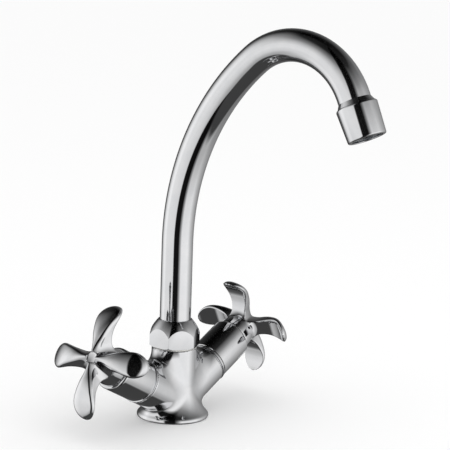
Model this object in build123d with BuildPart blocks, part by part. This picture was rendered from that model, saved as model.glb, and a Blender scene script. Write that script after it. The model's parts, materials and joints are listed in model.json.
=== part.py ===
from build123d import *

# Two handle kitchen faucet: a one-hole brass body with two inclined side valves, cross handles
# with four bent-back petals, and a tall swivelling spout with an aerator.
# Millimetres. +Z is up and Z is the spout's swivel axis. The origin is the centre of the base's
# underside, where it stands on the deck. The spout points along -Y, the handles along -X and +X.
import os
from math import cos, radians, sin

# ---------------------------------------------------------------- driving dimensions
base_radius = 25.4
collar_radius = 16.1
collar_top = 50.3

arm_angle = 27.0                # rise of each side arm above the deck
arm_root = 13.0                 # height where the arm axes cross the swivel axis
arm_radius = 15.2
arm_lip = 40.4                  # end of the cast arm, measured out along its axis

sleeve_radius = 15.0
sleeve_start = 43.2
sleeve_end = 73.4

handle_front = 99.3             # crest of the handle, measured out along the arm axis
handle_reach = 40.0             # hub axis to petal tip
hub_radius = 13.0
hub_gap = 0.5                   # air between the hub and the sleeve's end
handle_turn = {"left": 4.0, "right": 1.0}      # where the closed handles' petals stand

nut_flats = 32.0
nut_bottom = 51.4
nut_top = 70.5
nut_turn = 26.0                 # a corner of the hexagon, from +X

tube_radius = 11.0
tube_wall = 1.2
tube_start = 64.6
riser_top = 124.0
rise_radius, rise_turn = 175.0, 50.0
crown_radius, crown_turn = 52.0, 104.5
tube_tail = 2.6

nose_length = 3.2
housing_length = 23.0
housing_top_radius = 14.0
housing_end_radius = 13.0

fit_gap = 0.05                  # clearance between pieces that turn on each other
sides = {"left": -1, "right": 1}
parts = []


# ---------------------------------------------------------------- planes and shared forms
def arm_axis(side):
    return Vector(side * cos(radians(arm_angle)), 0, sin(radians(arm_angle)))


def arm_upward(side):
    return Vector(-side * sin(radians(arm_angle)), 0, cos(radians(arm_angle)))


def axial_plane(origin, radial, axis):
    """A plane whose local X is a radius and whose local Y runs along the axis."""
    return Plane(origin=origin, x_dir=radial, z_dir=radial.cross(axis))


def arm_section(side):
    return axial_plane((0, 0, arm_root), arm_upward(side), arm_axis(side))


def arm_face(side, distance):
    """A plane square to the arm, this far out along it, with local X upward."""
    origin = Vector(0, 0, arm_root) + arm_axis(side) * distance
    return Plane(origin=origin, x_dir=arm_upward(side), z_dir=arm_axis(side))


def keep(piece, label):
    piece.label = label
    parts.append(piece)


def turned(section, outline):
    """A piece turned about the section's Y axis from (radius, position) points."""
    with BuildPart() as piece:
        with BuildSketch(section):
            with BuildLine():
                Polyline(*outline, close=True)
            make_face()
        revolve(axis=Axis(section.origin, section.y_dir))
    return piece.part


def tube_outline(inner, outer, low, high):
    return [(inner, low), (outer, low), (outer, high), (inner, high)]


def o_rings(section, groove_radius, cord_radius, positions):
    """Equal O-rings, each seated in its groove."""
    with BuildPart() as rings:
        with BuildSketch(section):
            with Locations(*[(groove_radius + cord_radius, place) for place in positions]):
                Circle(cord_radius)
        revolve(axis=Axis(section.origin, section.y_dir))
    return rings.part


def grooved_shaft(outer, groove_radius, cord_radius, positions, low, high):
    """The outline of a shaft with a square groove round each O-ring."""
    points = [(0, low), (outer, low)]
    for place in positions:
        points += [(outer, place - cord_radius), (groove_radius, place - cord_radius),
                   (groove_radius, place + cord_radius), (outer, place + cord_radius)]
    return points + [(outer, high)]


upright = axial_plane((0, 0, 0), Vector(1, 0, 0), Vector(0, 0, 1))

# ---------------------------------------------------------------- body casting
rim_height = 2.6
bell_top = 26.0
bell_radius = 31.0
arm_blend = 6.0
neck_radius = 13.4
neck_top = 61.0
spout_bore = 9.5
spout_bore_floor = 34.0
valve_bore = 9.6
seat_position = 21.0
seat_passage_radius = 4.0
mixing_passage_radius = 3.0
inlet_offset = 9.0              # the two supply hoses screw in side by side
inlet_radius = 4.5
inlet_depth = 14.0
stud_offset = 14.5
stud_radius = 3.4
stud_depth = 13.0
gasket_inner, gasket_outer = 20.6, 23.6
gasket_height = 2.0

with BuildPart() as arms:
    with BuildSketch(arm_face(-1, 0), arm_face(1, 0)):
        Circle(arm_radius)
    extrude(amount=arm_lip)
    split(bisect_by=Plane.XY, keep=Keep.TOP)

with BuildPart() as body:
    with BuildSketch(upright):
        with BuildLine():
            Polyline((0, 0), (base_radius - 0.8, 0), (base_radius, 0.8), (base_radius, rim_height),
                     (base_radius - 1.1, rim_height + 1.2))
            RadiusArc((base_radius - 1.1, rim_height + 1.2), (collar_radius, bell_top), bell_radius)
            Polyline((collar_radius, bell_top), (collar_radius, collar_top - 0.8),
                     (collar_radius - 0.8, collar_top), (neck_radius, collar_top),
                     (neck_radius, neck_top), (0, neck_top), (0, 0))
        make_face()
    revolve(axis=Axis.Z)
    add(arms.part)
    fillet(body.edges().filter_by(GeomType.BSPLINE), arm_blend)
    fillet(body.edges().filter_by(GeomType.CIRCLE).sort_by(lambda edge: abs(edge.center().X))[-2:], 0.8)

    # the spout's bore, and the groove of the deck gasket
    with BuildSketch(Plane.XY.offset(spout_bore_floor)):
        Circle(spout_bore)
    extrude(amount=neck_top - spout_bore_floor, mode=Mode.SUBTRACT)
    with BuildSketch():
        Circle(gasket_outer)
        Circle(gasket_inner, mode=Mode.SUBTRACT)
    extrude(amount=gasket_height, mode=Mode.SUBTRACT)

    # threaded holes in the underside, for two hoses and the mounting stud
    with BuildSketch():
        with Locations((-inlet_offset, 0), (inlet_offset, 0)):
            Circle(inlet_radius)
    extrude(amount=inlet_depth, mode=Mode.SUBTRACT)
    with BuildSketch():
        with Locations((0, stud_offset)):
            Circle(stud_radius)
    extrude(amount=stud_depth, mode=Mode.SUBTRACT)

    # in each arm the valve's bore, the passage up to its seat, and the one to the mixing chamber
    for side in sides.values():
        with BuildSketch(arm_face(side, arm_lip)):
            Circle(valve_bore)
        extrude(amount=seat_position - arm_lip, mode=Mode.SUBTRACT)
        with BuildSketch(arm_face(side, seat_position)):
            Circle(seat_passage_radius)
        extrude(amount=-12, mode=Mode.SUBTRACT)
        with BuildSketch(Plane(origin=(side * 21, 0, 28.5), z_dir=(-side * 14, 0, 8.5))):
            Circle(mixing_passage_radius)
        extrude(amount=15, mode=Mode.SUBTRACT)
keep(body.part, "body_casting")

keep(turned(upright, tube_outline(gasket_inner, gasket_outer, 0, gasket_height)), "base_gasket")

# ---------------------------------------------------------------- spout nut and its washer
nut_thread = neck_radius
nut_lip = 66.4                  # underside of the inward lip that holds the spout down
nut_opening = tube_radius + 0.4
nut_cone_foot = 59.6
nut_corner = nut_flats / 2 / cos(radians(30))

with BuildPart() as nut:
    with BuildSketch(Plane.XY.offset(nut_bottom)):
        RegularPolygon(radius=nut_flats / 2, side_count=6, major_radius=False, rotation=nut_turn)
    extrude(amount=nut_top - nut_bottom)
    with BuildSketch(upright):
        with BuildLine():
            Polyline((0, nut_bottom), (nut_corner - 1.6, nut_bottom), (nut_corner, nut_bottom + 1.0),
                     (nut_corner, nut_cone_foot))
            RadiusArc((nut_corner, nut_cone_foot), (nut_opening + 0.7, nut_top - 0.2), -34)
            Polyline((nut_opening + 0.7, nut_top - 0.2), (nut_opening + 0.5, nut_top), (0, nut_top),
                     (0, nut_bottom))
        make_face()
    revolve(axis=Axis.Z, mode=Mode.INTERSECT)
    with BuildSketch(Plane.XY.offset(nut_bottom)):
        Circle(nut_thread)
    extrude(amount=nut_lip - nut_bottom, mode=Mode.SUBTRACT)
    with BuildSketch(Plane.XY.offset(nut_lip)):
        Circle(nut_opening)
    extrude(amount=nut_top - nut_lip, mode=Mode.SUBTRACT)
keep(nut.part, "spout_nut")

keep(turned(upright, tube_outline(neck_radius, collar_radius - 0.6, collar_top, nut_bottom)),
     "nut_washer")

# ---------------------------------------------------------------- spout
ferrule_radius = spout_bore - fit_gap
ferrule_foot = 38.0
ferrule_bore = 6.5
flange_radius = neck_radius - 0.4
flange_foot = neck_top + fit_gap
spigot_top = 74.0
spout_ring_cord = 1.2
spout_ring_groove = ferrule_radius - 2 * spout_ring_cord
spout_ring_places = (44.0, 52.0)

ferrule_outline = grooved_shaft(ferrule_radius, spout_ring_groove, spout_ring_cord,
                                spout_ring_places, ferrule_foot, flange_foot)
ferrule_outline += [(flange_radius, flange_foot), (flange_radius, tube_start),
                    (tube_radius - tube_wall, tube_start), (tube_radius - tube_wall, spigot_top),
                    (ferrule_bore, spigot_top), (ferrule_bore, ferrule_foot)]
keep(turned(upright, ferrule_outline[1:]), "spout_ferrule")
keep(o_rings(upright, spout_ring_groove, spout_ring_cord, spout_ring_places), "spout_o_rings")
keep(turned(upright, tube_outline(nut_opening, flange_radius, tube_start + fit_gap, nut_lip)),
     "spout_slip_ring")

with BuildPart() as tube:
    with BuildLine(Plane.YZ) as tube_path:
        riser = Line((0, tube_start), (0, riser_top))
        rise = JernArc(riser @ 1, riser % 1, rise_radius, rise_turn)
        crown = JernArc(rise @ 1, rise % 1, crown_radius, crown_turn)
        tail = Line(crown @ 1, crown @ 1 + (crown % 1) * tube_tail)
    with BuildSketch(Plane.XY.offset(tube_start)):
        Circle(tube_radius)
        Circle(tube_radius - tube_wall, mode=Mode.SUBTRACT)
    sweep()
keep(tube.part, "spout_tube")

# ---------------------------------------------------------------- nose and aerator
# positions along the tube's end axis, from the tube's cut end
nose_spigot = -2.4
nose_bore = 8.0
nose_thread = 11.2
thread_end = 10.0
cartridge_radius = 11.6
cartridge_start, cartridge_end = 12.2, 23.6
screen_thickness = 0.5
housing_end = nose_length + housing_length
outlet_radius = 10.4
outlet_lip = 1.4
outlet_section = axial_plane(tail @ 1, Vector(1, 0, 0), tail % 1)


def outlet_face(distance):
    """A plane square to the outlet's axis, this far past the tube's end."""
    return Plane(origin=tail @ 1 + (tail % 1) * distance, x_dir=(1, 0, 0), z_dir=tail % 1)


keep(turned(outlet_section, [(nose_bore, nose_spigot), (tube_radius - tube_wall, nose_spigot),
                             (tube_radius - tube_wall, 0), (tube_radius, 0),
                             (housing_top_radius - 1.3, nose_length), (nose_thread, nose_length),
                             (nose_thread, thread_end), (nose_bore, thread_end)]), "spout_nose")

with BuildPart() as housing:
    with BuildSketch(outlet_section):
        with BuildLine():
            Polyline((nose_thread, nose_length), (housing_top_radius, nose_length),
                     (housing_end_radius, housing_end), (outlet_radius, housing_end),
                     (outlet_radius, housing_end - outlet_lip),
                     (cartridge_radius, housing_end - outlet_lip), (cartridge_radius, thread_end),
                     (nose_thread, thread_end), close=True)
        make_face()
    revolve(axis=Axis(outlet_section.origin, outlet_section.y_dir))
    rims = housing.edges().filter_by(GeomType.CIRCLE)
    fillet(rims.filter_by(lambda rim: abs(rim.radius - housing_top_radius) < 0.1), 1.6)
    rims = housing.edges().filter_by(GeomType.CIRCLE)
    fillet(rims.filter_by(lambda rim: abs(rim.radius - housing_end_radius) < 0.1), 1.0)
keep(housing.part, "aerator_housing")

with BuildPart() as cartridge:
    with BuildSketch(outlet_face(cartridge_start)):
        Circle(cartridge_radius)
    extrude(amount=cartridge_end - cartridge_start)
    with BuildSketch(outlet_face(cartridge_end)):
        Circle(cartridge_radius)
        Circle(outlet_radius - 0.4, mode=Mode.SUBTRACT)
    extrude(amount=-0.8, mode=Mode.SUBTRACT)
    with BuildSketch(outlet_face(cartridge_start)):
        Circle(9.2)
    extrude(amount=4.0, mode=Mode.SUBTRACT)
    with BuildSketch(outlet_face(cartridge_start)):
        RegularPolygon(radius=1.5, side_count=6)
        with PolarLocations(3.9, 6):
            RegularPolygon(radius=1.5, side_count=6)
        with PolarLocations(7.4, 12):
            RegularPolygon(radius=1.4, side_count=6)
    extrude(amount=cartridge_end - cartridge_start, mode=Mode.SUBTRACT)
keep(cartridge.part, "aerator_cartridge")

with BuildPart() as screen:
    with BuildSketch(outlet_face(cartridge_start - screen_thickness)):
        Circle(cartridge_radius)
        with GridLocations(2.4, 2.4, 6, 6):
            Rectangle(1.5, 1.5, mode=Mode.SUBTRACT)
    extrude(amount=screen_thickness)
keep(screen.part, "aerator_screen")

keep(turned(outlet_section, tube_outline(nose_bore, cartridge_radius, thread_end,
                                         cartridge_start - screen_thickness)), "aerator_washer")

# ---------------------------------------------------------------- side valves
# positions along each arm's axis, from where it crosses the swivel axis
ring_radius = arm_radius + 0.3
shank_radius = 7.6
valve_top = 62.0
stem_radius = 4.0
stem_ring_cord = 0.8
stem_ring_radius = 5.2
stem_ring_groove = stem_ring_radius - 2 * stem_ring_cord
stem_ring_places = (38.0, 43.0)
stem_shoulder = 47.0
disc_radius = 7.0
port_offset = 3.2               # the discs' ports lie on opposite sides while the tap is shut
seal_height = 1.6
fixed_disc_start = seat_position + seal_height
moving_disc_start = fixed_disc_start + 3.2 + fit_gap
moving_disc_end = moving_disc_start + 3.2
drive_start = moving_disc_end - 1.4
drive_flange_end = moving_disc_end + 2.0
spline_start = 64.0
stem_end = 90.0
clip_start = valve_top + fit_gap
clip_end = clip_start + 0.9
screw_position = 78.2
screw_radius = 2.5
screw_length = 5.5
screw_turn = 65.0               # from the upper petal towards the one over the spout's side
hub_height = handle_front - sleeve_end - hub_gap


for hand, side in sides.items():
    section = arm_section(side)
    arm_turning_axis = Axis(section.origin, section.y_dir)

    # a chromed trim ring fills the joint between the casting and the sleeve
    keep(turned(section, [(9.9, arm_lip), (ring_radius - 1.1, arm_lip),
                          (ring_radius - 1.1, arm_lip + 0.7), (ring_radius, arm_lip + 0.9),
                          (ring_radius, arm_lip + 1.9), (ring_radius - 0.9, arm_lip + 2.2),
                          (ring_radius - 0.9, sleeve_start), (9.9, sleeve_start)]),
         f"{hand}_trim_ring")

    # the sleeve screws onto the valve's shank by an inner web and closes under the handle
    with BuildPart() as sleeve:
        with BuildSketch(section):
            with BuildLine():
                Polyline((sleeve_radius - 1.4, sleeve_start), (sleeve_radius - 0.5, sleeve_start),
                         (sleeve_radius, sleeve_start + 0.5), (sleeve_radius, sleeve_end),
                         (6.6, sleeve_end), (6.6, sleeve_end - 3.2),
                         (sleeve_radius - 1.8, sleeve_end - 3.2), (sleeve_radius - 1.8, 56),
                         (shank_radius, 56), (shank_radius, 51), (sleeve_radius - 1.4, 51), close=True)
            make_face()
        revolve(axis=arm_turning_axis)
        end_rim = sleeve.edges().filter_by(GeomType.CIRCLE).sort_by(
            lambda rim: (rim.arc_center - section.origin).dot(section.y_dir) + rim.radius)[-1]
        fillet(end_rim, 2.0)
    keep(sleeve.part, f"{hand}_sleeve")

    # the headwork: a threaded brass barrel with a hexagon, bored for the stem and the discs
    with BuildPart() as valve:
        with BuildSketch(section):
            with BuildLine():
                Polyline((0, seat_position + seal_height), (valve_bore, seat_position + seal_height),
                         (valve_bore, arm_lip), (8.2, arm_lip), (8.2, sleeve_start),
                         (shank_radius, sleeve_start), (shank_radius, valve_top), (0, valve_top),
                         close=True)
            make_face()
        revolve(axis=arm_turning_axis)
        with BuildSketch(arm_face(side, arm_lip)):
            RegularPolygon(radius=8.5, side_count=6, major_radius=False)
        extrude(amount=6.5)
        with BuildSketch(section):
            with BuildLine():
                Polyline((0, seat_position), (disc_radius + fit_gap, seat_position),
                         (disc_radius + fit_gap, drive_flange_end + fit_gap),
                         (stem_ring_radius + fit_gap, drive_flange_end + fit_gap),
                         (stem_ring_radius + fit_gap, stem_shoulder + fit_gap),
                         (stem_radius + fit_gap, stem_shoulder + fit_gap),
                         (stem_radius + fit_gap, valve_top + 1), (0, valve_top + 1), close=True)
            make_face()
        revolve(axis=arm_turning_axis, mode=Mode.SUBTRACT)
        # two windows let mixed water out of the disc chamber
        with BuildSketch(Plane(origin=arm_face(side, moving_disc_end - 1).origin, z_dir=(0, 1, 0))):
            Circle(1.9)
        extrude(amount=valve_bore + 1, both=True, mode=Mode.SUBTRACT)
    keep(valve.part, f"{hand}_valve_body")

    keep(turned(section, tube_outline(4.6, disc_radius, seat_position, fixed_disc_start)),
         f"{hand}_seat_seal")

    with BuildPart() as fixed_disc:
        with BuildSketch(arm_face(side, fixed_disc_start)):
            Circle(disc_radius)
            with Locations((port_offset, 0)):
                SlotOverall(6.4, 3.4, rotation=90, mode=Mode.SUBTRACT)
        extrude(amount=moving_disc_start - fit_gap - fixed_disc_start)
    keep(fixed_disc.part, f"{hand}_fixed_disc")

    with BuildPart() as moving_disc:
        with BuildSketch(arm_face(side, moving_disc_start)):
            Circle(disc_radius - fit_gap)
            with Locations((-port_offset, 0)):
                SlotOverall(6.4, 3.4, rotation=90, mode=Mode.SUBTRACT)
        extrude(amount=moving_disc_end - moving_disc_start)
        with BuildSketch(arm_face(side, drive_start)):
            Rectangle(2.4, 10.4)
        extrude(amount=4, mode=Mode.SUBTRACT)
    keep(moving_disc.part, f"{hand}_moving_disc")

    # the stem drives the moving disc by a tongue and ends in a spline under the handle
    with BuildPart() as stem:
        with BuildSketch(section):
            with BuildLine():
                shaft = grooved_shaft(stem_ring_radius, stem_ring_groove, stem_ring_cord,
                                      stem_ring_places, drive_flange_end, stem_shoulder)
                Polyline((0, moving_disc_end + fit_gap), (disc_radius - 0.3, moving_disc_end + fit_gap),
                         (disc_radius - 0.3, drive_flange_end), *shaft[1:],
                         (stem_radius, stem_shoulder), (stem_radius, clip_start),
                         (stem_radius - 0.6, clip_start), (stem_radius - 0.6, clip_end),
                         (stem_radius, clip_end), (stem_radius, spline_start), (0, spline_start),
                         close=True)
            make_face()
        revolve(axis=arm_turning_axis)
        with BuildSketch(arm_face(side, spline_start)):
            Circle(stem_radius)
            with PolarLocations(stem_radius, 20):
                Rectangle(0.7, 0.5, mode=Mode.SUBTRACT)
        extrude(amount=stem_end - spline_start)
        with BuildSketch(arm_face(side, drive_start + fit_gap)):
            Rectangle(2.3, 10.2)
        extrude(amount=moving_disc_end + fit_gap - drive_start)
    keep(stem.part, f"{hand}_stem")

    keep(o_rings(section, stem_ring_groove, stem_ring_cord, stem_ring_places),
         f"{hand}_stem_o_rings")

    with BuildPart() as clip:
        with BuildSketch(arm_face(side, clip_start)):
            Circle(stem_radius + 1.8)
            Circle(stem_radius - 0.6, mode=Mode.SUBTRACT)
            with Locations((stem_radius + 1, 0)):
                Rectangle(2 * stem_radius, 4.4, mode=Mode.SUBTRACT)
        extrude(amount=clip_end - clip_start)
    keep(clip.part, f"{hand}_circlip")

# ---------------------------------------------------------------- cross handle
# built with its crest at the origin, +Z outward along the stem and +X towards one petal
tip_radius = 8.8
crest_half = 1.4                # half the width of the narrow ridge at the centre
root_half = 7.0                 # half the width of the petal's back at the hub
plan_depth = 16.0
flat_crest = 14.5
petal_bend_radius, petal_bend_turn = 36.0, 47.5
root_thickness = 13.2
hollow_thickness = 7.9
petal_edge_round = 0.8
hub_blend = 2.0
hub_dome = 3.5                  # depth of the hub's dome under the crest
dome_land = 3.0                 # radius of the dome's flat top, hidden under the petals
tip_centre = handle_reach - tip_radius


def petal_outline(root, near, far):
    """The petal seen from the front: half widths at the root, near it and far out."""
    upper = Spline((0, root), (12, near), (22, far), (tip_centre, tip_radius),
                   tangents=[(1, 0), (1, 0)])
    ThreePointArc(upper @ 1, (handle_reach, 0), (tip_centre, -tip_radius))
    lower = Spline((tip_centre, -tip_radius), (22, -far), (12, -near), (0, -root),
                   tangents=[(-1, 0), (-1, 0)])
    Line(lower @ 1, upper @ 0)


with BuildPart() as petal:
    with BuildSketch():
        with BuildLine():
            petal_outline(crest_half, 3.6, 6.7)
        make_face()
    with BuildSketch(Plane.XY.offset(-plan_depth)):
        with BuildLine():
            petal_outline(root_half, 7.0, 7.6)
        make_face()
    loft(ruled=True)
    with BuildSketch(Plane.XZ):
        with BuildLine():
            crest = Line((0, 0), (flat_crest, 0))
            bend = JernArc(crest @ 1, (1, 0), petal_bend_radius, -petal_bend_turn)
            tip = Line(bend @ 1, bend @ 1 + Vector(-1.9, -2.6))
            hollow = ThreePointArc(tip @ 1, (25, -hollow_thickness), (11, -root_thickness))
            Polyline(hollow @ 1, (0, -root_thickness), (0, 0))
        make_face()
    extrude(amount=2 * tip_radius, both=True, mode=Mode.INTERSECT)
    fillet(petal.edges().filter_by(lambda edge: edge.center().X > 1), petal_edge_round)

screw_plane = Plane(origin=(0, 0, screw_position - handle_front),
                    z_dir=(cos(radians(screw_turn)), sin(radians(screw_turn)), 0))

with BuildPart() as cross_handle:
    with BuildSketch(Plane.XZ):
        with BuildLine():
            dome = EllipticalCenterArc((dome_land, -hub_height), hub_radius - dome_land,
                                       hub_height - hub_dome, start_angle=0, arc_size=90)
            Polyline(dome @ 1, (0, -hub_dome), (0, -hub_height), dome @ 0)
        make_face()
    revolve(axis=Axis.Z)
    with PolarLocations(0, 4):
        add(petal.part)
    roots = cross_handle.edges(Select.NEW).filter_by(lambda edge: edge.center().Z < -2)
    with BuildSketch(Plane.XY.offset(-hub_height)):
        Circle(stem_radius)
    extrude(amount=stem_end + 1 - handle_front + hub_height, mode=Mode.SUBTRACT)
    with BuildSketch(screw_plane):
        Circle(screw_radius)
    extrude(amount=hub_radius + 1, mode=Mode.SUBTRACT)
    fillet(roots, hub_blend)

with BuildPart() as set_screw:
    with BuildSketch(screw_plane.offset(stem_radius)):
        Circle(screw_radius)
    extrude(amount=screw_length)
    with BuildSketch(screw_plane.offset(stem_radius + screw_length)):
        RegularPolygon(radius=1.25, side_count=6, major_radius=False)
    extrude(amount=-3, mode=Mode.SUBTRACT)

for hand, side in sides.items():
    place = arm_face(side, handle_front).location * Location((0, 0, 0), (0, 0, handle_turn[hand]))
    keep(cross_handle.part.moved(place), f"{hand}_handle")
    keep(set_screw.part.moved(place), f"{hand}_set_screw")

# ---------------------------------------------------------------- export
os.makedirs("parts", exist_ok=True)
for piece in parts:
    export_step(piece, f"parts/{piece.label}.step")
print(len(parts), "pieces; overall box", Compound(children=parts).bounding_box())
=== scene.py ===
import bmesh
import bpy
import json
import numpy as np
from math import atan2, cos, hypot, pi, radians, sin, sqrt
from mathutils import Matrix, Vector


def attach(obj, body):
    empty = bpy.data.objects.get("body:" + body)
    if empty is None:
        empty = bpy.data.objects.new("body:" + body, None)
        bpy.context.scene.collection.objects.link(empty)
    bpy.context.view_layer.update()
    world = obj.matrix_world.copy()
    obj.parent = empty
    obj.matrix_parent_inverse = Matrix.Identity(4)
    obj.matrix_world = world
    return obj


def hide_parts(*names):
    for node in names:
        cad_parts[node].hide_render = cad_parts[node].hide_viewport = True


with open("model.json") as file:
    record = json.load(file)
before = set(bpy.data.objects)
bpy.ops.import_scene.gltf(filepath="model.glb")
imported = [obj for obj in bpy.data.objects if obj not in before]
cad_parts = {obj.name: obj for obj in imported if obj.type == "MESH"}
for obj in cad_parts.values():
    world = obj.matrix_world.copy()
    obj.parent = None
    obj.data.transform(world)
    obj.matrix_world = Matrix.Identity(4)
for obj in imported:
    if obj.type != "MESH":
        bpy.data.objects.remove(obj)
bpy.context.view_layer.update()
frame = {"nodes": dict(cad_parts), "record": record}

MM = 0.001

# ---------------------------------------------------------------- dimensions, in millimetres
# places along a side valve are measured from where its axis leaves the spout's
sides = {"left": -1, "right": 1}

# body
base_radius = 25.4
foot_chamfer = 0.8
collar_radius = 16.1
collar_top = 50.3
bell_radius = 31.0
bell_centre = (47.08, 24.83)    # radius and height of the middle of the flare's hollow arc
arm_angle = radians(27)
arm_root = 13.0
arm_radius = 15.2
arm_lip = 40.4
arm_blend = 14.0

# spout, from the nut up
nut_flats, nut_bottom, nut_top = 32.0, 51.4, 70.5
nut_turn = radians(26)
nut_lip, nut_opening, nut_thread, nut_cone_foot = 66.4, 11.4, 13.4, 59.6
nut_cone_bulge = 34.0
nut_corner = nut_flats / 2 / cos(radians(30))
tube_radius, tube_wall, tube_start, riser_top = 11.0, 1.2, 64.6, 124.0
rise_radius, rise_turn = 175.0, radians(50)
crown_radius, crown_turn = 52.0, radians(104.5)
tube_tail = 2.6
nose_length, nose_spigot, nose_bore = 3.2, 2.4, 8.0
nose_thread, nose_end = 11.2, 10.0
housing_length, housing_bore = 23.0, 11.6
housing_top_radius, housing_end_radius = 14.0, 13.0
outlet_radius, outlet_lip = 10.4, 1.4

# outer pieces of the side valves
ring_radius, ring_bore = 15.5, 9.9
bead_start, bead_end = arm_lip + 0.9, arm_lip + 1.9
sleeve_radius = 15.0
sleeve_start, sleeve_end = 43.2, 73.4
sleeve_wall, sleeve_skirt, sleeve_cap = 1.8, 1.4, 3.2
web_start, web_end = 51.0, 56.0
web_opening, stem_opening = 7.6, 6.6

# cross handles: crest at the front, the petals bend back from it
handle_front = 99.3
handle_reach = 40.0
handle_turn = {"left": radians(4), "right": radians(1)}
tip_radius = 8.8
tip_centre = handle_reach - tip_radius
tip_thickness = (1.9, 2.6)      # from the crest's end to the back's, inwards and backwards
flat_crest = 14.5
petal_overlap = 3.0             # how far each petal runs past the middle of the handle
petal_bend, petal_turn = 36.0, radians(47.5)
plan_depth = 16.0
hollow_middle, hollow_thickness = 25.0, 7.9
root_place, root_thickness = 11.0, 13.2
crest_round, crest_crown = 2.4, 1.5
ridge_length = 12.0
hub_radius, hub_dome = 13.0, 3.5
hub_height = handle_front - sleeve_end - 0.5
stem_radius, stem_floor = 4.0, 8.3


# ---------------------------------------------------------------- materials
def linear(hex_code, alpha=1.0):
    """An sRGB hex colour as linear RGBA."""
    channels = [int(hex_code[i:i + 2], 16) / 255 for i in (1, 3, 5)]
    return [c / 12.92 if c <= 0.04045 else ((c + 0.055) / 1.055) ** 2.4 for c in channels] + [alpha]


def add(tree, kind, settings=None, **inputs):
    """Adds a node. Settings are its properties; inputs are sockets by name, set or linked."""
    node = tree.nodes.new(kind)
    for key, value in (settings or {}).items():
        setattr(node, key, value)
    for key, value in inputs.items():
        socket = node.inputs[int(key[1:])] if key[0] == "_" else node.inputs[key.replace("_", " ")]
        if isinstance(value, bpy.types.NodeSocket):
            tree.links.new(value, socket)
        else:
            socket.default_value = value
    return node


def ramp(node, stops):
    """Gives a colour ramp its stops, as (position, grey or colour)."""
    elements = node.color_ramp.elements
    while len(elements) > 1:
        elements.remove(elements[-1])
    for place, value in stops:
        element = elements[0] if place == stops[0][0] else elements.new(place)
        element.position = place
        element.color = value if isinstance(value, (list, tuple)) else (value, value, value, 1)
    return node


def new_material(name):
    """A material with a plain shader, and the place on the piece that its patterns follow."""
    material = bpy.data.materials.new(name)
    material.use_nodes = True
    tree = material.node_tree
    tree.nodes.clear()
    shader = add(tree, "ShaderNodeBsdfPrincipled")
    add(tree, "ShaderNodeOutputMaterial", Surface=shader.outputs[0])
    place = add(tree, "ShaderNodeTexCoord").outputs["Object"]
    return material, tree, shader, place


def spots(size):
    """The noise scale that gives spots of this size in millimetres."""
    return 1 / (size * MM)


def plated_chrome():
    """Bright nickel-chrome plate on polished brass: a cool mirror, with faint polishing waves
    and a trace of handling haze that softens it by patches."""
    haze_patch, polishing_wave = 11.1, 6.25
    material, tree, shader, place = new_material("chrome_plate_on_brass")
    haze = add(tree, "ShaderNodeTexNoise", Vector=place, Scale=spots(haze_patch), Detail=3.0,
               Roughness=0.6)
    tint = ramp(add(tree, "ShaderNodeValToRGB", Fac=haze.outputs[0]),
                [(0.3, linear("#dfe0e2")), (0.7, linear("#e6e6e7"))])
    rough = add(tree, "ShaderNodeMapRange", Value=haze.outputs[0], From_Min=0.35, From_Max=0.75,
                To_Min=0.045, To_Max=0.085)
    waves = add(tree, "ShaderNodeTexNoise", Vector=place, Scale=spots(polishing_wave), Detail=1.0)
    bump = add(tree, "ShaderNodeBump", Height=waves.outputs[0], Strength=0.04, Distance=0.0003)
    tree.links.new(tint.outputs[0], shader.inputs["Base Color"])
    tree.links.new(rough.outputs[0], shader.inputs["Roughness"])
    tree.links.new(bump.outputs[0], shader.inputs["Normal"])
    shader.inputs["Metallic"].default_value = 1.0
    return material


def machined(name, light, dark, roughness, marks):
    """Machined metal: a little uneven in tone, with fine tool marks that break up the shine.
    The marks are drawn coarser than real ones, which would be too fine to show."""
    stain = 4.55
    material, tree, shader, place = new_material(name)
    tone = add(tree, "ShaderNodeTexNoise", Vector=place, Scale=spots(stain), Detail=4.0)
    tint = ramp(add(tree, "ShaderNodeValToRGB", Fac=tone.outputs[0]),
                [(0.3, linear(dark)), (0.7, linear(light))])
    scores = add(tree, "ShaderNodeTexNoise", Vector=place, Scale=spots(marks), Detail=2.0)
    bump = add(tree, "ShaderNodeBump", Height=scores.outputs[0], Strength=0.12, Distance=0.0002)
    tree.links.new(tint.outputs[0], shader.inputs["Base Color"])
    tree.links.new(bump.outputs[0], shader.inputs["Normal"])
    shader.inputs["Metallic"].default_value = 1.0
    shader.inputs["Roughness"].default_value = roughness
    return material


def moulded(name, light, dark, roughness, grain):
    """Moulded or pressed and fired stuff: an even tone with a fine grain from the mould."""
    cloud = 6.67
    material, tree, shader, place = new_material(name)
    tone = add(tree, "ShaderNodeTexNoise", Vector=place, Scale=spots(cloud), Detail=3.0)
    tint = ramp(add(tree, "ShaderNodeValToRGB", Fac=tone.outputs[0]),
                [(0.35, linear(dark)), (0.65, linear(light))])
    pits = add(tree, "ShaderNodeTexNoise", Vector=place, Scale=spots(grain), Detail=2.0)
    bump = add(tree, "ShaderNodeBump", Height=pits.outputs[0], Strength=0.2, Distance=0.0001)
    tree.links.new(tint.outputs[0], shader.inputs["Base Color"])
    tree.links.new(bump.outputs[0], shader.inputs["Normal"])
    shader.inputs["Roughness"].default_value = roughness
    return material


chrome = plated_chrome()
# turned brass: a warm yellow shine with thread-like tool marks
brass = machined("turned_brass", "#c9a462", "#b28c4b", roughness=0.28, marks=0.6)
# pressed stainless steel: a pale grey, slightly warm satin
stainless = machined("stainless_steel", "#b9b8b4", "#a3a29f", roughness=0.3, marks=0.5)
# moulded rubber seals: near black and matt
rubber = moulded("moulded_epdm_rubber", "#262626", "#1b1b1b", roughness=0.72, grain=0.8)
# lapped ceramic discs: a smooth, glossy ivory
ceramic = moulded("lapped_alumina_ceramic", "#f1eee6", "#e9e5dc", roughness=0.18, grain=2.0)
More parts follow.
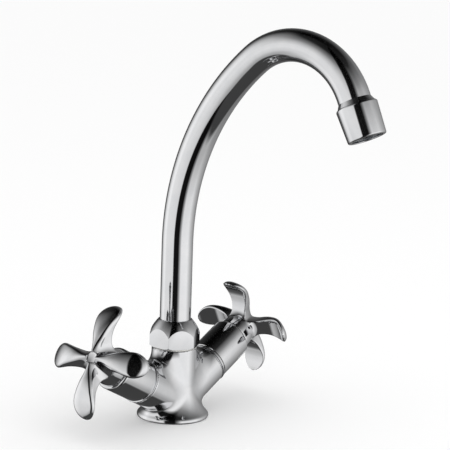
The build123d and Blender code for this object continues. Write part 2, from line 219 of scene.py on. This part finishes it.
# white plastic rings: a soft, milky shine
acetal = moulded("turned_acetal", "#e2e1dc", "#d6d5d0", roughness=0.42, grain=0.9)
# the aerator's insert: a grey plastic, coloured darker than its own light grey as painted shade deep
# inside the outlet
insert_plastic_in_painted_shade = moulded("aerator_plastic_darkened_for_painted_shade", "#6a6e72", "#5d6165", roughness=0.4, grain=0.8)

finishes = {"chromed_brass": chrome, "brass": brass, "rubber": rubber, "ceramic": ceramic,
            "white_plastic": acetal, "aerator_plastic": insert_plastic_in_painted_shade, "stainless_mesh": stainless,
            "stainless_steel": stainless}
for subpart in frame["record"]["subparts"]:
    slots = frame["nodes"][subpart["node"]].data.materials
    finish = finishes[subpart["material_slot"]]
    if len(slots):
        for index in range(len(slots)):
            slots[index] = finish
    else:
        slots.append(finish)


# ---------------------------------------------------------------- making and placing pieces
def shape_from(bm, name):
    """Puts a shape into the scene under this name."""
    mesh = bpy.data.meshes.new(name)
    bm.to_mesh(mesh)
    bm.free()
    piece = bpy.data.objects.new(name, mesh)
    bpy.context.scene.collection.objects.link(piece)
    return piece


def with_modifiers_applied(piece):
    """Swaps a piece's mesh for what its modifiers make of it."""
    evaluated = piece.evaluated_get(bpy.context.evaluated_depsgraph_get())
    mesh = bpy.data.meshes.new_from_object(evaluated)
    piece.modifiers.clear()
    spare = piece.data
    piece.data = mesh
    bpy.data.meshes.remove(spare)
    mesh.name = piece.name


def finished(piece, body, nodes, material=chrome, crease=35):
    """Scales a piece to metres, shades it smooth up to its creases, and hands it to its body."""
    mesh = piece.data
    mesh.transform(Matrix.Scale(MM, 4))
    mesh.materials.clear()
    mesh.materials.append(material)
    mesh.shade_smooth()
    mesh.set_sharp_from_angle(angle=radians(crease))
    mesh.update()
    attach(piece, body)
    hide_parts(*nodes)
    return piece


def arm_frame(side, distance=0.0, turn=0.0):
    """Local Z outward along the arm, local X upward, at this distance out."""
    axis = Vector((side * cos(arm_angle), 0, sin(arm_angle)))
    upward = Vector((-side * sin(arm_angle), 0, cos(arm_angle)))
    across = axis.cross(upward)
    turned = Matrix((upward, across, axis)).transposed().to_4x4()
    place = Matrix.Translation(Vector((0, 0, arm_root)) + axis * distance)
    return place @ turned @ Matrix.Rotation(turn, 4, "Z")


def edges_round(verts):
    """The edges that meet these points, each once."""
    return list(dict.fromkeys(edge for vert in verts for edge in vert.link_edges))


def spun(bm, outline, rounds=(), steps=192):
    """Spins a closed outline of (radius, position) about local Z. Rounds are (corner, radius)."""
    earlier = set(bm.verts)
    corners = [bm.verts.new((radius, 0, position)) for radius, position in outline]
    for a, b in zip(corners, corners[1:] + corners[:1]):
        bm.edges.new((a, b))
    for index, radius in rounds:
        bmesh.ops.bevel(bm, geom=[corners[index]], offset=radius, segments=6, profile=0.5,
                        affect="VERTICES", offset_type="OFFSET", material=-1)
    section = [vert for vert in bm.verts if vert not in earlier]
    bmesh.ops.spin(bm, geom=section + edges_round(section), cent=(0, 0, 0), axis=(0, 0, 1),
                   angle=2 * pi, steps=steps, use_merge=True, use_duplicate=False)


def turned_piece(name, outline, rounds=(), place=Matrix.Identity(4)):
    """A turned piece from its closed outline, put in its place."""
    bm = bmesh.new()
    spun(bm, outline, rounds)
    bmesh.ops.remove_doubles(bm, verts=bm.verts, dist=0.0005)
    bmesh.ops.recalc_face_normals(bm, faces=bm.faces)
    bmesh.ops.transform(bm, matrix=place, verts=bm.verts)
    return shape_from(bm, name)


# ---------------------------------------------------------------- camera
# a long lens, level with the spout's foot, off the front left corner
photo_width, focal_length = 450, 1900.09    # in pixels of the photo
azimuth, elevation, roll = radians(-50.6), radians(10.36), radians(1.93)
distance, aim_right, aim_up = 1329.2, 32.87, 8.25
middle = Vector((0, 0, 130))

camera = bpy.data.objects.new("camera", bpy.data.cameras.new("camera"))
bpy.context.scene.collection.objects.link(camera)
bpy.context.scene.camera = camera
camera.data.sensor_width = 36.0
camera.data.lens = focal_length / photo_width * camera.data.sensor_width
camera.data.clip_end = 20.0
away = Vector((sin(azimuth) * cos(elevation), -cos(azimuth) * cos(elevation), sin(elevation)))
rightward = Vector((0, 0, 1)).cross(away).normalized()
camera.location = (middle + away * distance) * MM
aim = (middle + rightward * aim_right + away.cross(rightward) * aim_up) * MM
looking = (aim - camera.location).to_track_quat("-Z", "Y")
camera.rotation_mode = "QUATERNION"
camera.rotation_quaternion = looking @ Matrix.Rotation(roll, 3, "Z").to_quaternion()


# ---------------------------------------------------------------- spout
def only(kind, geometry):
    """The points, edges or faces among what an operator gives."""
    return [item for item in geometry if isinstance(item, kind)]


def drawn_out(bm, edges, way):
    """Draws a ring of edges out straight and gives what that adds."""
    added = bmesh.ops.extrude_edge_only(bm, edges=edges)["geom"]
    bmesh.ops.translate(bm, vec=way, verts=only(bmesh.types.BMVert, added))
    return added


def bent_on(bm, end, centre, turn, steps):
    """Carries a ring on round a bend and gives its new end."""
    ring = only((bmesh.types.BMVert, bmesh.types.BMEdge), end)
    return bmesh.ops.spin(bm, geom=ring, cent=centre, axis=(1, 0, 0), angle=turn, steps=steps,
                          use_duplicate=False)["geom_last"]


def in_the_spouts_plane(turn):
    """The direction at this turn from straight back."""
    return Vector((0, cos(turn), sin(turn)))


rise_centre = Vector((0, -rise_radius, riser_top))
rise_end = rise_centre + in_the_spouts_plane(rise_turn) * rise_radius
crown_centre = rise_end - in_the_spouts_plane(rise_turn) * crown_radius
crown_end = crown_centre + in_the_spouts_plane(rise_turn + crown_turn) * crown_radius
outward = in_the_spouts_plane(rise_turn + crown_turn + radians(90))
outlet_place = (Matrix.Translation(crown_end + outward * tube_tail)
                @ outward.to_track_quat("Z", "X").to_matrix().to_4x4())

bm = bmesh.new()
rings = [bmesh.ops.create_circle(bm, segments=96, radius=radius)["verts"]
         for radius in (tube_radius, tube_radius - tube_wall)]
bmesh.ops.translate(bm, vec=(0, 0, tube_start), verts=bm.verts)
feet, mouths = [], []
for ring in rings:
    foot = edges_round(ring)
    riser = drawn_out(bm, foot, (0, 0, riser_top - tube_start))
    rise = bent_on(bm, riser, rise_centre, rise_turn, 70)
    crown = bent_on(bm, rise, crown_centre, crown_turn, 90)
    tail = drawn_out(bm, only(bmesh.types.BMEdge, crown), outward * tube_tail)
    feet += foot
    mouths += only(bmesh.types.BMEdge, tail)
bmesh.ops.bridge_loops(bm, edges=feet)
bmesh.ops.bridge_loops(bm, edges=mouths)
bmesh.ops.recalc_face_normals(bm, faces=bm.faces)
finished(shape_from(bm, "tube_skin"), "spout", ["spout_tube"])

# the nose plugs into the tube and widens to the housing's shoulder
tube_bore = tube_radius - tube_wall
nose = turned_piece("nose_skin", [(nose_bore, -nose_spigot), (tube_bore, -nose_spigot), (tube_bore, 0),
                                  (tube_radius, 0), (housing_top_radius - 1.3, nose_length),
                                  (nose_thread, nose_length), (nose_thread, nose_end),
                                  (nose_bore, nose_end)], place=outlet_place)
finished(nose, "spout", ["spout_nose"], crease=20)

housing_end = nose_length + housing_length
lip_start = housing_end - outlet_lip
housing = turned_piece("aerator_housing_skin",
                       [(nose_thread, nose_length), (housing_top_radius, nose_length),
                        (housing_end_radius, housing_end), (outlet_radius, housing_end),
                        (outlet_radius, lip_start), (housing_bore, lip_start),
                        (housing_bore, nose_end), (nose_thread, nose_end)],
                       rounds=((1, 1.6), (2, 1.0), (3, 0.3)), place=outlet_place)
finished(housing, "spout", ["aerator_housing"])


# ---------------------------------------------------------------- spout nut
def arc_points(start, end, radius, count):
    """Points of an arc between two (radius, position) points, bulging to the left of the way."""
    start, end = Vector(start), Vector(end)
    chord = end - start
    middle = (start + end) / 2
    normal = Vector((-chord.y, chord.x)).normalized()
    centre = middle - normal * sqrt(radius * radius - chord.length_squared / 4)
    first = atan2(start.y - centre.y, start.x - centre.x)
    last = atan2(end.y - centre.y, end.x - centre.x)
    return [(centre.x + radius * cos(first + (last - first) * i / count),
             centre.y + radius * sin(first + (last - first) * i / count)) for i in range(count + 1)]


# a turned blank with a bulging cone, cut to six flats
cone = arc_points((nut_opening + 0.7, nut_top - 0.2), (nut_corner, nut_cone_foot), nut_cone_bulge, 24)
nut = turned_piece("nut_skin", [(nut_thread, nut_bottom), (nut_corner - 1.6, nut_bottom),
                                (nut_corner, nut_bottom + 1.0)] + cone[::-1]
                   + [(nut_opening + 0.5, nut_top), (nut_opening, nut_top), (nut_opening, nut_lip),
                      (nut_thread, nut_lip)])
bm = bmesh.new()
bmesh.ops.create_cone(bm, cap_ends=True, segments=6, radius1=nut_corner, radius2=nut_corner,
                      depth=nut_top - nut_bottom + 4)
bmesh.ops.rotate(bm, matrix=Matrix.Rotation(nut_turn + radians(30), 3, "Z"), verts=bm.verts)
bmesh.ops.translate(bm, vec=(0, 0, (nut_top + nut_bottom) / 2), verts=bm.verts)
hexagon = shape_from(bm, "nut_hexagon")
cut = nut.modifiers.new("flats", "BOOLEAN")
cut.operation = "INTERSECT"
cut.solver = "EXACT"
cut.object = hexagon
edge = nut.modifiers.new("worn_edges", "BEVEL")
edge.width = 0.35
edge.segments = 3
edge.limit_method = "ANGLE"
edge.angle_limit = radians(25)
with_modifiers_applied(nut)
bpy.data.objects.remove(hexagon)
finished(nut, "body", ["spout_nut"], crease=24)

# ---------------------------------------------------------------- side valves' outer pieces
for hand, side in sides.items():
    place = arm_frame(side)
    ring = turned_piece(f"{hand}_trim_ring_skin",
                        [(ring_bore, arm_lip), (ring_radius - 1.1, arm_lip),
                         (ring_radius - 1.1, bead_start - 0.2), (ring_radius, bead_start),
                         (ring_radius, bead_end), (ring_radius - 0.9, bead_end + 0.3),
                         (ring_radius - 0.9, sleeve_start), (ring_bore, sleeve_start)],
                        rounds=((3, 0.35), (4, 0.35)), place=place)
    finished(ring, "body", [f"{hand}_trim_ring"])

    inner = sleeve_radius - sleeve_wall
    skirt = sleeve_radius - sleeve_skirt
    cap_start = sleeve_end - sleeve_cap
    sleeve = turned_piece(f"{hand}_sleeve_skin",
                          [(skirt, sleeve_start), (sleeve_radius - 0.5, sleeve_start),
                           (sleeve_radius, sleeve_start + 0.5), (sleeve_radius, sleeve_end),
                           (stem_opening, sleeve_end), (stem_opening, cap_start), (inner, cap_start),
                           (inner, web_end), (web_opening, web_end), (web_opening, web_start),
                           (skirt, web_start)],
                          rounds=((3, 2.0),), place=place)
    finished(sleeve, "body", [f"{hand}_sleeve"])


# ---------------------------------------------------------------- smooth cast forms
# Each cast form starts as overlapping solids, made into one even skin. The skin's points are
# then drawn onto the form's own surface, where its field is zero. Where a face slants, its field
# is scaled down by about its slope.
def soft_min(a, b, width):
    """The smaller of two fields, blended over this width: a joined form with a fillet."""
    near = np.maximum(width - np.abs(a - b), 0.0) / width
    return np.minimum(a, b) - near * near * width / 4


def soft_max(a, b, width):
    """The larger of two fields, blended over this width: a cut form with a rounded edge."""
    return -soft_min(-a, -b, width)


def gradient(field, points):
    """Which way and how fast the field grows at each point."""
    step = 0.02
    slope = np.empty_like(points)
    for axis in range(3):
        shift = np.zeros(3)
        shift[axis] = step
        slope[:, axis] = (field(points + shift) - field(points - shift)) / (2 * step)
    return slope


def drawn_onto(piece, field, rounds=6, reach=1.5):
    """Moves a mesh's points along the field's slope until they lie on its surface."""
    mesh = piece.data
    points = np.empty(len(mesh.vertices) * 3)
    mesh.vertices.foreach_get("co", points)
    points = points.reshape(-1, 3)
    for _ in range(rounds):
        slope = gradient(field, points)
        size = np.maximum((slope * slope).sum(1), 0.05)
        step = -(field(points) / size)[:, None] * slope
        length = np.linalg.norm(step, axis=1, keepdims=True)
        points += step * np.minimum(1, reach / np.maximum(length, 1e-9))
    mesh.vertices.foreach_set("co", points.ravel())
    mesh.update()


def evenly_skinned(piece, spacing, field):
    """Joins a piece's solids in one skin of evenly spaced points, on the field's surface."""
    remesh = piece.modifiers.new("even", "REMESH")
    remesh.mode = "VOXEL"
    remesh.voxel_size = spacing
    remesh.adaptivity = 0.0
    with_modifiers_applied(piece)
    for _ in range(2):
        drawn_onto(piece, field)
        bm = bmesh.new()
        bm.from_mesh(piece.data)
        for _ in range(2):
            bmesh.ops.smooth_vert(bm, verts=bm.verts, factor=0.5, use_axis_x=True, use_axis_y=True,
                                  use_axis_z=True)
        bm.to_mesh(piece.data)
        bm.free()
    drawn_onto(piece, field)


# ---------------------------------------------------------------- body
# the flared bell and collar, and the two arms that grow out of them
def bell_outline(z):
    """Radius of the bell and collar at height z."""
    flare = bell_centre[0] - np.sqrt(np.maximum(bell_radius ** 2 - (z - bell_centre[1]) ** 2, 1.0))
    radius = np.where(z > bell_centre[1], collar_radius, flare)
    rim = soft_min(radius, base_radius, 1.0)
    return soft_min(rim, base_radius - foot_chamfer + z, 0.6)


def arm_field(points, side):
    """Distance to the arm's cylinder, and which way its surface faces."""
    axis = np.array([side * cos(arm_angle), 0, sin(arm_angle)])
    rel = points - np.array([0, 0, arm_root])
    along = rel @ axis
    off = rel - along[:, None] * axis
    radius = np.maximum(np.linalg.norm(off, axis=1), 0.01)
    barrel = soft_max(radius - arm_radius, along - arm_lip, 0.5)
    return soft_max(barrel, -along, 4.0), off / radius[:, None]


def body_field(points):
    """The whole body. Its blends fade where the surfaces that meet face the same way, so these
    run on without a swelling."""
    x, y, z = points.T
    radius = np.maximum(np.hypot(x, y), 0.01)
    whole = soft_max(radius - bell_outline(z), z - collar_top, 0.8)
    for side in sides.values():
        arm, faces = arm_field(points, side)
        alike = (x * faces[:, 0] + y * faces[:, 1]) / radius
        whole = soft_min(whole, arm, arm_blend * np.clip(1.06 - alike, 0.12, 1.2))
    return soft_max(whole, -z, 0.3)


bm = bmesh.new()
flare_start = 3.4
heights = np.linspace(flare_start, bell_centre[1], 21) + 0.01
outline = ([(0, 0), (base_radius, 0), (base_radius, flare_start - 0.1)]
           + [(float(radius), float(height)) for radius, height in zip(bell_outline(heights), heights)]
           + [(collar_radius, collar_top), (0, collar_top)])
spun(bm, outline, steps=96)
bmesh.ops.remove_doubles(bm, verts=bm.verts, dist=0.0005)
for side in sides.values():
    bmesh.ops.create_cone(bm, cap_ends=True, segments=96, radius1=arm_radius, radius2=arm_radius,
                          depth=arm_lip, matrix=arm_frame(side, arm_lip / 2))
bmesh.ops.bisect_plane(bm, geom=bm.verts[:] + bm.edges[:] + bm.faces[:], plane_co=(0, 0, 0),
                       plane_no=(0, 0, -1), clear_outer=True)
bmesh.ops.holes_fill(bm, edges=[e for e in bm.edges if e.is_boundary])
bmesh.ops.recalc_face_normals(bm, faces=bm.faces)
body = shape_from(bm, "body_skin")
evenly_skinned(body, 0.7, body_field)
finished(body, "body", ["body_casting"], crease=50)


# ---------------------------------------------------------------- cross handles
def circle_through(p, q, r):
    """Centre and radius of the circle through three points."""
    (ax, ay), (bx, by), (cx, cy) = p, q, r
    a, b, c = ax * ax + ay * ay, bx * bx + by * by, cx * cx + cy * cy
    twice_area = 2 * (ax * (by - cy) + bx * (cy - ay) + cx * (ay - by))
    middle_x = (a * (by - cy) + b * (cy - ay) + c * (ay - by)) / twice_area
    middle_y = (a * (cx - bx) + b * (ax - cx) + c * (bx - ax)) / twice_area
    return middle_x, middle_y, hypot(ax - middle_x, ay - middle_y)


# the petal's back, seen from the side: an arc through its tip, its hollow and its root
back_tip = (flat_crest + petal_bend * sin(petal_turn) - tip_thickness[0],
            petal_bend * (1 - cos(petal_turn)) + tip_thickness[1])
hollow_centre = circle_through(back_tip, (hollow_middle, hollow_thickness), (root_place, root_thickness))

# half the petal's width, from the middle of the handle out to the tip
crest_places = [0, 5, 10, 15, 22, tip_centre]
crest_halves = [0.8, 1.5, 2.9, 4.7, 6.8, tip_radius]
back_places = [0, 12, 22, tip_centre]
back_halves = [7.0, 7.0, 7.6, tip_radius]


def smooth_through(knots, values, r):
    """A cubic through the values at the knots, level at both ends, taken at r."""
    k, v = np.array(knots, float), np.array(values, float)
    slopes = np.gradient(v, k)
    slopes[0] = slopes[-1] = 0.0
    r = np.clip(r, k[0], k[-1])
    index = np.clip(np.searchsorted(k, r) - 1, 0, len(k) - 2)
    h = k[index + 1] - k[index]
    t = (r - k[index]) / h
    return ((2 * t ** 3 - 3 * t ** 2 + 1) * v[index] + (t ** 3 - 2 * t ** 2 + t) * h * slopes[index]
            + (-2 * t ** 3 + 3 * t ** 2) * v[index + 1] + (t ** 3 - t ** 2) * h * slopes[index + 1])


def petal_half_width(r, depth):
    """Half the petal's width at radius r and this depth behind the crest."""
    crest = smooth_through(crest_places, crest_halves, r)
    back = smooth_through(back_places, back_halves, r)
    return crest + (back - crest) * np.clip(depth / plan_depth, 0, 1)


def crest_depth(r):
    """How far the crest lies behind the handle's front at radius r."""
    past = np.clip(r - flat_crest, 0, petal_bend * 0.95)
    return petal_bend - np.sqrt(petal_bend ** 2 - past ** 2)


def back_depth(r):
    """How far the petal's back lies behind the handle's front at radius r."""
    middle_r, middle_depth, radius = hollow_centre
    inside = np.maximum(radius ** 2 - (np.maximum(r, root_place) - middle_r) ** 2, 1.0)
    return middle_depth - np.sqrt(inside)


def petal_field(r, across, depth):
    """One petal along +r: plan outline, crest and hollow back, with rounded edges. Its ridge is
    sharper near the middle of the handle, where the four ridges meet."""
    half = petal_half_width(r, depth)
    side = np.abs(across) - half
    tip = np.hypot(r - tip_centre, across) - tip_radius
    plan = np.where(r > tip_centre, tip, side)
    plan = soft_max(plan, -r - petal_overlap, 1.0)
    face = crest_depth(r) + crest_crown * np.minimum(np.abs(across) / half, 1.2) ** 2
    rounding = crest_round * (0.5 + 0.5 * np.clip(r / ridge_length, 0, 1))
    front = soft_max(plan, (face - depth) * 0.9, rounding)
    return soft_max(front, (depth - back_depth(r)) * 0.9, 1.1)


def handle_field(points):
    """The whole cross handle: crest at z = 0, depth behind it, petals on the X and Y axes."""
    x, y, z = points.T
    depth = -z
    whole = None
    for turn in range(4):
        r = x * cos(turn * pi / 2) + y * sin(turn * pi / 2)
        across = -x * sin(turn * pi / 2) + y * cos(turn * pi / 2)
        petal = petal_field(r, across, depth)
        whole = petal if whole is None else soft_min(whole, petal, 1.2)
    height = hub_height - hub_dome
    up = np.maximum(z + hub_height, 0) / height
    flat = np.hypot(x, y) / hub_radius
    dome = (np.sqrt(up * up + flat * flat) - 1) * hub_radius * 0.9
    hub = soft_max(dome, -hub_height - z, 0.8)
    whole = soft_min(whole, hub, 4.0)
    stem_hole = np.minimum(stem_radius - np.hypot(x, y), z + stem_floor)
    return soft_max(whole, stem_hole, 0.3)


# a block shaped like one petal, repeated round the hub
bm = bmesh.new()
bmesh.ops.create_cube(bm, size=2.0)
bmesh.ops.subdivide_edges(bm, edges=bm.edges, cuts=15, use_grid_fill=True)
for vert in bm.verts:
    u, v, w = vert.co
    r = (u + 1) / 2 * (handle_reach - 0.8)
    top = float(crest_depth(np.array([r]))[0])
    under = float(back_depth(np.array([r]))[0])
    depth = top + (under - top) * (1 - w) / 2
    if r > tip_centre:
        half = sqrt(max(tip_radius ** 2 - (r - tip_centre) ** 2, 0.5))
    else:
        half = float(petal_half_width(np.array([r]), np.array([depth]))[0])
    vert.co = (r, v * half, -depth)
bmesh.ops.spin(bm, geom=bm.verts[:] + bm.edges[:] + bm.faces[:], cent=(0, 0, 0), axis=(0, 0, 1),
               angle=2 * pi, steps=4, use_duplicate=True, use_merge=False)
hub = [(0, -hub_height)] + [(hub_radius * cos(turn), -hub_height + (hub_height - hub_dome) * sin(turn))
                            for turn in [pi / 2 * i / 16 for i in range(16)]] + [(0, -hub_dome)]
spun(bm, hub, steps=64)
bmesh.ops.recalc_face_normals(bm, faces=bm.faces)
pattern = shape_from(bm, "handle_pattern")
evenly_skinned(pattern, 0.45, handle_field)
for hand in ("right", "left"):
    handle = bpy.data.objects.new(f"{hand}_handle_skin", pattern.data.copy())
    bpy.context.scene.collection.objects.link(handle)
    handle.data.transform(arm_frame(sides[hand], handle_front, handle_turn[hand]))
    finished(handle, f"{hand}_control", [f"{hand}_handle"], crease=50)
bpy.data.objects.remove(pattern)

# ---------------------------------------------------------------- floor, light and reflections
# a matt white floor, which takes the shadow and is left out of reflections
floor_material, tree, shader, place = new_material("pale_floor")
shader.inputs["Base Color"].default_value = linear("#fbfbfb")
shader.inputs["Roughness"].default_value = 0.9
shader.inputs["Specular IOR Level"].default_value = 0.0
bm = bmesh.new()
bmesh.ops.create_grid(bm, x_segments=1, y_segments=1, size=6.0)
floor = shape_from(bm, "floor")
floor.data.materials.append(floor_material)
floor.visible_glossy = False

# the room as the chrome shows it: pale walls with a dark gap beside the camera and one behind, a
# ceiling that darkens overhead, and a dark grey table below. Only mirror rays see it.
table_grey = linear("#444444")
world = bpy.data.worlds.new("studio")
bpy.context.scene.world = world
world.use_nodes = True
tree = world.node_tree
tree.nodes.clear()
way = add(tree, "ShaderNodeTexCoord").outputs["Generated"]
split = add(tree, "ShaderNodeSeparateXYZ", Vector=way)
forward = add(tree, "ShaderNodeMath", {"operation": "MULTIPLY"}, _0=split.outputs["Y"], _1=-1.0)
bearing = add(tree, "ShaderNodeMath", {"operation": "ARCTAN2"}, _0=split.outputs["X"],
              _1=forward.outputs[0])
turn = add(tree, "ShaderNodeMapRange", Value=bearing.outputs[0], From_Min=-pi, From_Max=pi, To_Min=0.0,
           To_Max=1.0)
walls = ramp(add(tree, "ShaderNodeValToRGB", Fac=turn.outputs[0]),
             [((angle + 180) / 360, value) for angle, value in
              [(-180, 0.6), (-166, 1.0), (-152, 1.1), (-135, 0.92), (-79, 0.9), (-75, 0.008),
               (-42, 0.008), (-32, 0.35), (-20, 1.0), (30, 1.05), (60, 0.6), (95, 0.3), (130, 0.15),
               (150, 0.04), (164, 0.1), (180, 0.6)]])
height = add(tree, "ShaderNodeMapRange", Value=split.outputs["Z"], From_Min=-1.0, From_Max=1.0,
             To_Min=0.0, To_Max=1.0)
ceiling = ramp(add(tree, "ShaderNodeValToRGB", Fac=height.outputs[0]),
               [((sin(radians(angle)) + 1) / 2, value) for angle, value in
                [(-90, 0.5), (-45, 0.5), (-28, 0.85), (-9, 1.0), (8, 0.96), (20, 0.76), (31, 0.52),
                 (41, 0.28), (53, 0.12), (62, 0.02), (90, 0.01)]])
room = add(tree, "ShaderNodeMix", {"data_type": "RGBA", "blend_type": "MULTIPLY"}, _0=1.0,
           _6=walls.outputs[0], _7=ceiling.outputs[0])
table = ramp(add(tree, "ShaderNodeValToRGB", Fac=height.outputs[0]),
             [((sin(radians(angle)) + 1) / 2, value) for angle, value in
              [(-90, 1.0), (-54, 1.0), (-49, 0.0), (90, 0.0)]])
studio = add(tree, "ShaderNodeMix", {"data_type": "RGBA"}, _0=table.outputs[0],
             _6=room.outputs[2], _7=table_grey)
path = add(tree, "ShaderNodeLightPath")
seen = add(tree, "ShaderNodeMix", {"data_type": "RGBA"}, _0=path.outputs["Is Glossy Ray"],
           _6=(1, 1, 1, 1), _7=studio.outputs[2])
background = add(tree, "ShaderNodeBackground", Color=seen.outputs[2], Strength=1.0)
add(tree, "ShaderNodeOutputWorld", Surface=background.outputs[0])

lamp = bpy.data.objects.new("soft_light", bpy.data.lights.new("soft_light", "AREA"))
bpy.context.scene.collection.objects.link(lamp)
lamp.data.size = 1.6
lamp.data.energy = 2.5
lamp.location = (-0.5, -0.9, 1.2)
lamp.rotation_euler = (Vector((0, 0, 0.1)) - lamp.location).to_track_quat("-Z", "Y").to_euler()
lamp.visible_glossy = False

bpy.context.scene.view_settings.view_transform = "Standard"
